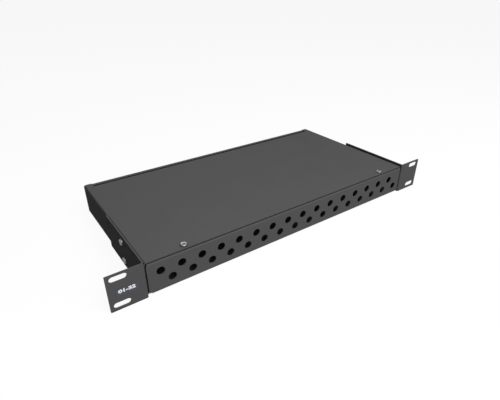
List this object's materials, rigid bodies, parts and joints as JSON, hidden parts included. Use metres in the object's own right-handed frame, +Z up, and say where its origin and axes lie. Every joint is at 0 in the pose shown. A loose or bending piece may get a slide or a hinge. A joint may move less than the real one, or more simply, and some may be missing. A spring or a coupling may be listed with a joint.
{
  "type": "fibre optic patch panel",
  "caption": "Flat dark steel rack panel with two staggered rows of round ports, rack ears on folded brackets, a lift-off lid and splice trays inside.",
  "frame": {"origin": "centre of the four rack slots, in the plane of the ears' rear faces", "axes": "+X to the right along the panel's width, +Y to the rear into the rack, +Z up"},
  "size_m": [0.4826, 0.2306, 0.0438],
  "materials": {
    "case_paint": "fine matt powder coat",
    "zinc": "bright zinc plate",
    "tray_plastic": "moulded",
    "comb_rubber": "soft moulded",
    "cover_plastic": "smooth",
    "gland_plastic": "moulded",
    "seal_rubber": "matt",
    "guide_plastic": "moulded",
    "label_film": "printed film"
  },
  "bodies": {
    "case": {"chassis": "case_paint", "left_bracket": "case_paint", "right_bracket": "case_paint", "lid_nuts": "zinc", "bracket_screws": "zinc", "bracket_bushes": "zinc", "tray_studs": "zinc", "tray_spacers": "zinc", "tray_washers": "zinc", "tray_nuts": "zinc", "clamp_posts": "zinc", "clamp_plates": "zinc", "clamp_screws": "zinc", "earth_bolt": "zinc", "earth_washers": "zinc", "earth_nut": "zinc", "lower_splice_tray": "tray_plastic", "upper_splice_tray": "tray_plastic", "lower_splice_comb": "comb_rubber", "upper_splice_comb": "comb_rubber", "gland_bodies": "gland_plastic", "gland_locknuts": "gland_plastic", "gland_caps": "gland_plastic", "entry_plugs": "gland_plastic", "gland_gaskets": "seal_rubber", "gland_seals": "seal_rubber", "fibre_guides": "guide_plastic", "ear_label": "label_film"},
    "lid": {"lid": "case_paint", "lid_screws": "zinc"},
    "splice_cover": {"splice_cover": "cover_plastic"}
  },
  "joints": [
    {"name": "lid_lift", "type": "slide", "parent": "case", "child": "lid", "axis": [0, 0, 1], "range_m": [0, 0.06]},
    {"name": "splice_cover_lift", "type": "slide", "parent": "case", "child": "splice_cover", "axis": [0, 0, 1], "range_m": [0, 0.012]}
  ]
}
